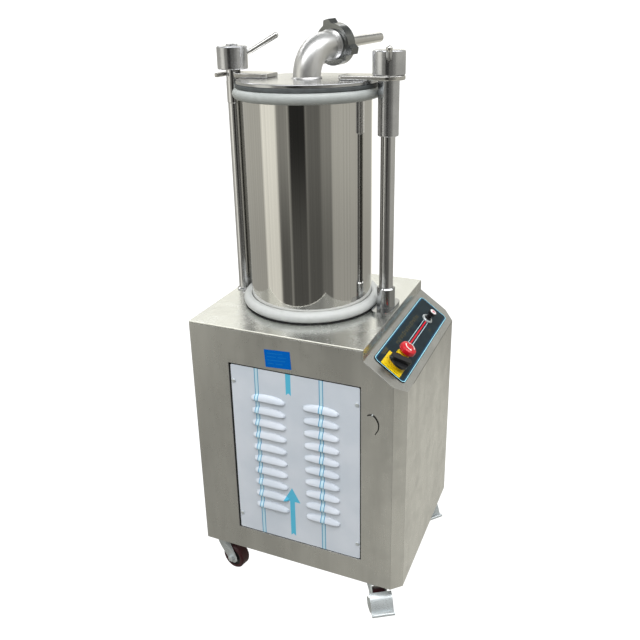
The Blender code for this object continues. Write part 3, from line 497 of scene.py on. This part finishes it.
def make_front_panel():
    film = FINISHES["panel_film"]
    low = (PANEL_LOW[0] + 0.0048, PANEL_LOW[1] + 0.0018)
    high = (PANEL_HIGH[0] - 0.0028, PANEL_HIGH[1] - 0.0036)
    face = FRONT - PANEL_FACE
    sheet = plates([rounded(low, high, 0.004)], face - 0.0020, face)
    plate = piece("panel_plate", sheet, film, place=ON_FRONT)
    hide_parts("front_panel")
    hoods = bmesh.new()
    for middle in LOUVRE_COLUMNS:
        for row in range(LOUVRE_ROWS):
            louvre(hoods, middle, LOUVRE_TOP - row * LOUVRE_PITCH - 0.0005)
    lift = ON_FRONT @ Matrix.Translation((0, 0, face))
    hoods = piece("panel_louvres", hoods, film, place=lift, sharp=60)
    thick = hoods.modifiers.new("sheet", "SOLIDIFY")
    thick.thickness = 0.0008
    thick.offset = -1
    # Black strips behind each hood's open lower edge: painted shade for the dark inside of the cabinet seen
    # through the slot.
    slot_shades = [bar((middle - 0.038, LOUVRE_TOP - row * LOUVRE_PITCH + 0.0002),
                 (middle + 0.038, LOUVRE_TOP - row * LOUVRE_PITCH + 0.0045))
             for middle in LOUVRE_COLUMNS for row in range(LOUVRE_ROWS)]
    black = FINISHES["black_rubber"]
    slot_shades = plates(slot_shades, face - 0.0001, face + 0.0002)
    piece("panel_slot_shades", slot_shades, black, place=ON_FRONT)
    # Black strips round the panel, wider at the left and top: painted shade in the gap between the panel and
    # its opening.
    (x0, y0), (x1, y1) = PANEL_LOW, PANEL_HIGH
    strips = [bar((x0, y0), (x0 + 0.006, y1)), bar((x1 - 0.004, y0), (x1, y1)),
              bar((x0, y1 - 0.005), (x1, y1)), bar((x0, y0), (x1, y0 + 0.003))]
    strips = plates(strips, face - 0.0018, face - 0.0008)
    piece("panel_gap_shade", strips, black, place=ON_FRONT)


def make_sticker():
    """A plain blue sticker above the panel, with a few pale dashes."""
    tilt = ON_FRONT @ Matrix.Translation((0.0165, CABINET_BOTTOM + 0.563, 0))
    tilt = tilt @ Matrix.Rotation(math.radians(3.5), 4, "Z")
    blue = plastic("sticker_looks", srgb(0, 106, 204), 0.5, 0.08, 0.0, 300.0, 0.05)
    sheet = plates([rounded((-0.0325, -0.022), (0.0325, 0.022), 0.001, 2)], 0.0001, 0.0004)
    piece("sticker", sheet, blue, place=tilt)
    dashes = []
    for row, spans in enumerate((((-0.026, 0.014),), ((-0.026, -0.004), (0.001, 0.022)), ((-0.026, 0.019),),
                                 ((-0.026, -0.011), (-0.006, 0.012)))):
        y = 0.0135 - row * 0.0085
        dashes += [bar((x0, y - 0.0009), (x1, y + 0.0009)) for x0, x1 in spans]
    pale = plastic("sticker_dash_looks", srgb(24, 124, 206), 0.5, shine=0.12)
    piece("sticker_dashes", plates(dashes, 0.0004, 0.00055), pale, place=tilt)


def make_label_marks():
    """Generic strokes where the control plate is printed, and none of them a letter."""
    gold = plastic("gold_print_looks", srgb(112, 100, 60), 0.4, shine=0.2)
    strokes = []
    for step in range(17):
        y = -0.084 + step * 0.0103
        tall = 0.0035 + 0.0012 * (step * 7 % 3)
        strokes.append(bar((0.0345 - tall, y), (0.0345 + tall, y + 0.0014)))
        if step % 3 != 1:
            strokes.append(bar((0.0345 - tall, y + 0.0014), (0.0357 - tall, y + 0.0058)))
        if step % 2:
            strokes.append(bar((0.0340 + tall / 3, y + 0.0014), (0.0350 + tall / 3, y + 0.0062)))
    for row in range(3):
        strokes.append(bar((0.0190 + row * 0.0030, -0.165 + row * 0.004), (0.0200 + row * 0.0030, -0.130)))
    strokes += [bar((0.078, 0.062), (0.0786, 0.072)), bar((0.0815, 0.062), (0.0821, 0.070))]
    piece("label_print", plates(strokes, LABEL_FACE, LABEL_FACE + 0.00012), gold,
          place=ON_SLOPE)
    ink = FINISHES["black_plastic"]
    lines = [bar((-0.022, -0.0232), (0.022, -0.0224)), bar((-0.016, -0.0262), (-0.004, -0.0255)),
             bar((0.004, -0.0262), (0.016, -0.0255)), bar((-0.0250, -0.004), (-0.0243, 0.004))]
    lines = plates(lines, 0.0036, 0.00372)
    piece("switch_plate_print", lines, ink, place=on_slope(SWITCH))


def head_height(radius):
    """The height of the emergency stop's domed top above its head's underside."""
    if radius < 0.012:
        return 0.0172 - 0.0007 * radius / 0.012
    return 0.0165 - 0.0030 * (radius - 0.012) / 0.0065


def make_estop_arrows():
    bm = bmesh.new()
    for start in (2, 182):
        turns = [math.radians(start + 112 * step / 14) for step in range(15)]
        rings = [(turn, 0.0098, 0.0124) for turn in turns]
        rings += [(turns[-1] + 0.001, 0.0084, 0.0138), (turns[-1] + 0.36, 0.0110, 0.0112)]
        for height in (0.0003, 0.0006):
            pairs = []
            for turn, *radii in rings:
                pairs.append([bm.verts.new((radius * math.cos(turn), radius * math.sin(turn),
                                            head_height(radius) + height)) for radius in radii])
            for (a, b), (c, d) in zip(pairs, pairs[1:]):
                bm.faces.new((a, b, d, c))
    white = plastic("arrow_print_looks", srgb(240, 226, 222), 0.35)
    piece("estop_arrows", bm, white, "estop", on_slope(ESTOP, ESTOP_HEAD))


def make_button_cap():
    cap = lathe([(0, 0.0009), (0.0074, 0.0008), (0.0084, 0.0003), (0.0086, 0), (0, 0)])
    white = plastic("button_cap_looks", srgb(238, 232, 234), 0.3)
    piece("button_cap", cap, white, "button", on_slope(BUTTON, BUTTON_TOP))
    mark = plates([arc((0, 0), 0.0036, 0, 360, 20)[:-1]], 0.0009, 0.0011)
    pink = plastic("button_mark_looks", srgb(214, 96, 112), 0.3)
    piece("button_mark", mark, pink, "button", on_slope(BUTTON, BUTTON_TOP))


def make_wire_hook():
    """A thin bent wire beside the panel, held by a bright pin."""
    curve = bpy.data.curves.new("wire_hook", "CURVE")
    curve.dimensions = "3D"
    curve.bevel_depth = 0.0011
    curve.bevel_resolution = 2
    line = curve.splines.new("BEZIER")
    points = [(0.232, 0.569), (0.2425, 0.5715), (0.2545, 0.560), (0.2575, 0.540), (0.2505, 0.525)]
    line.bezier_points.add(len(points) - 1)
    for knot, (x, z) in zip(line.bezier_points, points):
        knot.co = BARREL + Vector((x, FRONT - 0.0012, z))
        knot.handle_left_type = knot.handle_right_type = "AUTO"
    curve.materials.append(plastic("wire_looks", srgb(26, 26, 25), 0.5, shine=0.2))
    hook = bpy.data.objects.new("wire_hook", curve)
    bpy.context.scene.collection.objects.link(hook)
    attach(hook, "cabinet")
    pin = lathe([(0, 0.0026), (0.0014, 0.0024), (0.0021, 0.0014), (0.0022, -0.0004), (0, -0.0004)], 16)
    place = ON_FRONT @ Matrix.Translation((0.2435, 0.5715, 0))
    piece("wire_pin", pin, FINISHES["zinc"], place=place)


def make_underside_bolts():
    for name, spot in (("a", (0.030, -0.215)), ("b", (0.172, -0.215))):
        head = lathe([(0, -0.0052), (0.0045, -0.0048), (0.0065, -0.003), (0.0068, -0.0002), (0, -0.0002)], 18)
        piece(f"underside_bolt_{name}", head, FINISHES["zinc"],
              place=Matrix.Translation(BARREL + Vector((*spot, CABINET_BOTTOM))))


def make_axle_nuts():
    """Six-sided nuts on the axles of the casters without a brake, and rivets where a brake turns."""
    for name, (heading, braked) in CASTERS.items():
        middle = sum(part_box(f"caster_wheel_{name}"), Vector()) / 2
        turned = Matrix.Translation(middle) @ Matrix.Rotation(math.radians(heading), 4, "Z")
        for side, tilt in (("a", 90), ("b", -90)):
            place = turned @ Matrix.Rotation(math.radians(tilt), 4, "X")
            if braked:
                rivet = [(0, 0.0292), (0.0040, 0.0288), (0.0052, 0.0277), (0.0052, 0.0270), (0, 0.0270)]
                form = lathe(rivet, 18)
                piece(f"brake_rivet_{name}_{side}", form, FINISHES["zinc"], f"brake_{name}", place)
            else:
                nut = [(0, 0.0268), (0.0050, 0.0268), (0.0078, 0.0262), (0.0088, 0.0250), (0.0088, 0.0198)]
                form = lathe([*nut, (0, 0.0198)], 6)
                piece(f"axle_nut_{name}_{side}", form, FINISHES["zinc"], f"swivel_{name}", place)


def rod(name, points, radius, finish):
    """A thin straight-sided rod through points given from the barrel's axis."""
    curve = bpy.data.curves.new(name, "CURVE")
    curve.dimensions = "3D"
    curve.bevel_depth = radius
    curve.bevel_resolution = 3
    curve.use_fill_caps = True
    line = curve.splines.new("POLY")
    line.points.add(len(points) - 1)
    for knot, point in zip(line.points, points):
        knot.co = (*(BARREL + Vector(point)), 1)
    curve.materials.append(finish)
    made = bpy.data.objects.new(name, curve)
    bpy.context.scene.collection.objects.link(made)
    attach(made, "cabinet")


def make_cabinet_edges():
    """A pale rod along the top plate's front fold as a painted highlight on that edge, and the dark seam
    below the sloping face.
    """
    fold_y, fold_z = FRONT + 0.0011, CABINET_TOP - 0.0012
    # Painted highlight: a cream rod along the front fold of the top plate.
    rod("fold_highlight", [(-0.212, fold_y, fold_z), (SLOPE_ORIGIN.x - 0.001, fold_y, fold_z)], 0.0016,
        plastic("folded_edge_looks", srgb(232, 232, 222), 0.4))
    seam_x = CABINET_RIGHT - 0.0002
    seam_z = SLOPE_ORIGIN.z - (CABINET_RIGHT - SLOPE_ORIGIN.x) * math.tan(SLOPE_TURN) - 0.001
    rod("slope_seam", [(seam_x, -0.168, seam_z), (seam_x, 0.190, seam_z)], 0.0007,
        plastic("seam_looks", srgb(74, 74, 66), 0.5, shine=0.2))


def make_foot_shadow():
    """A black ring of painted shadow where the barrel's lower ring meets the top plate."""
    low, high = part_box("barrel_bottom_ring")
    radius = (high.x - low.x) / 2
    foot_shadow_ring = lathe([(radius - 0.012, 0.0001), (radius - 0.0028, 0.0001), (radius - 0.0030, 0.0014),
                  (radius - 0.012, 0.0014)], 96)
    middle = (low + high) / 2
    piece("barrel_foot_shadow", foot_shadow_ring, FINISHES["black_rubber"],
          place=Matrix.Translation((middle.x, middle.y, low.z)))


make_front_panel()
make_foot_shadow()
make_axle_nuts()
make_cabinet_edges()
make_sticker()
make_label_marks()
make_estop_arrows()
make_button_cap()
make_wire_hook()
make_underside_bolts()


# Light and camera --------------------------------------------------------------------------------

# The room that the steel mirrors: plain walls and a plain floor with a few cards, as listed.
# A card has its middle and half width in degrees of azimuth from +X, and its grey from 0 to 255. On the
# walls it has two greys, at eye level and lower down.
WALL_GREY, LOW_WALL_GREY, FLOOR_GREY = 160, 145, 140
WALL_CARDS = (
    (-140, 16, 215, 200),
    (-112, 10, 120, 80),
    (-85, 15, 35, 70),
    (-55, 15, 90, 75),
    (-35, 10, 120, 95),
    (110, 20, 235, 220),
)
FLOOR_CARDS = ((-100, 10, 180), (-60, 20, 105), (-15, 20, 180), (80, 20, 195))
CARD_EDGE = 3
WORLD_GAIN = 1.14


def warm_grey(level):
    """The faintly yellow grey of the walls, the floor and the cards."""
    return srgb(level, level * 0.99, level * 0.94)


def carded(graph, azimuth, plain, cards):
    """A surface's colour round the machine: its plain grey with the cards over it."""
    colour = warm_grey(plain)
    for middle, half, level in cards:
        share = within(graph, azimuth, middle - half, middle + half, CARD_EDGE)
        colour = graph.mix(share, colour, warm_grey(level))
    return colour


def make_world():
    """A room of walls and floor with cards on them, under a ceiling with strip lights."""
    world = bpy.data.worlds.new("studio")
    bpy.context.scene.world = world
    world.use_nodes = True
    graph = Graph(world.node_tree)
    towards = graph.node("ShaderNodeTexCoord").outputs["Generated"]
    x, y, z = graph.split(towards)
    turn = graph.math("MULTIPLY_ADD", graph.math("ARCTAN2", y, x), 0.5 / math.pi, 0.5)
    azimuth = graph.math("MULTIPLY_ADD", turn, 360, -180)
    high_cards = [(middle, half, grey) for middle, half, grey, _ in WALL_CARDS]
    low_cards = [(middle, half, grey) for middle, half, _, grey in WALL_CARDS]
    high = carded(graph, azimuth, WALL_GREY, high_cards)
    low = carded(graph, azimuth, LOW_WALL_GREY, low_cards)
    floor = carded(graph, azimuth, FLOOR_GREY, FLOOR_CARDS)
    around = graph.mix(graph.spread(z, -0.33, -0.15), low, high)
    flat = graph.node("ShaderNodeCombineXYZ")
    graph.feed(flat.inputs["X"], turn)
    grain = graph.noise(flat.outputs[0], 110.0, 5.0, 0.6)
    streaks = graph.spread(grain, 0.3, 0.7, 0.88 * WORLD_GAIN, 1.12 * WORLD_GAIN)
    over = graph.math("MAXIMUM", z, 0.05)
    across = graph.math("DIVIDE", graph.math("SUBTRACT", x, y), over)
    row = graph.math("SINE", graph.math("MULTIPLY", across, 2.6))
    ceiling = graph.mix(graph.spread(row, 0.45, 0.7), srgb(122, 124, 122), (2.6, 2.6, 2.6, 1))
    above = graph.mix(0.2, around, srgb(205, 207, 205))
    seen = graph.mix(graph.spread(z, 0.05, 0.35), around, above)
    seen = graph.mix(graph.spread(z, 0.45, 0.62), seen, ceiling)
    seen = graph.mix(graph.spread(z, -0.38, -0.5), seen, floor)
    background = world.node_tree.nodes["Background"]
    graph.feed(background.inputs["Color"], seen)
    graph.feed(background.inputs["Strength"], streaks)
    white = graph.node("ShaderNodeBackground")
    white.inputs["Color"].default_value = (1, 1, 1, 1)
    white.inputs["Strength"].default_value = 1.2
    choice = graph.node("ShaderNodeMixShader")
    graph.feed(choice.inputs[0], graph.node("ShaderNodeLightPath").outputs["Is Camera Ray"])
    graph.feed(choice.inputs[1], background.outputs[0])
    graph.feed(choice.inputs[2], white.outputs[0])
    graph.feed(world.node_tree.nodes["World Output"].inputs[0], choice.outputs[0])


def area_light(name, place, size, power):
    """A soft light aimed at the middle of the machine, which metal doesn't mirror."""
    data = bpy.data.lights.new(name, "AREA")
    data.size = size
    data.energy = power
    light = bpy.data.objects.new(name, data)
    bpy.context.scene.collection.objects.link(light)
    light.location = place
    light.rotation_euler = (Vector((0, 0, 0.7)) - Vector(place)).to_track_quat("-Z", "Y").to_euler()
    light.visible_glossy = False


# The camera, from the barrel's axis at floor level: its lens in millimetres, and its turns in degrees.
CAMERA_PLACE = Vector((0.6865, -1.5093, 1.3983))
CAMERA_HEADING, CAMERA_DIP, CAMERA_ROLL = 22.695, 20.163, -0.798
LENS, SENSOR = 39.94, 36
SHIFT_X, SHIFT_Y = -0.01915, -0.0731


def turned(degrees, axis):
    return Matrix.Rotation(math.radians(degrees), 4, axis)


def make_camera():
    data = bpy.data.cameras.new("camera")
    data.lens, data.sensor_width = LENS, SENSOR
    data.shift_x, data.shift_y = SHIFT_X, SHIFT_Y
    camera = bpy.data.objects.new("camera", data)
    bpy.context.scene.collection.objects.link(camera)
    aim = turned(CAMERA_HEADING, "Z") @ turned(90 - CAMERA_DIP, "X") @ turned(CAMERA_ROLL, "Z")
    camera.matrix_world = Matrix.Translation(BARREL + CAMERA_PLACE) @ aim
    bpy.context.scene.camera = camera


make_world()
area_light("key", (1.2, -2.2, 2.8), 2.2, 34)
area_light("fill", (-2.0, -1.8, 2.2), 2.0, 14)
area_light("overhead", (0.0, 0.2, 3.0), 2.4, 34)
make_camera()
bpy.context.scene.view_settings.view_transform = "Standard"
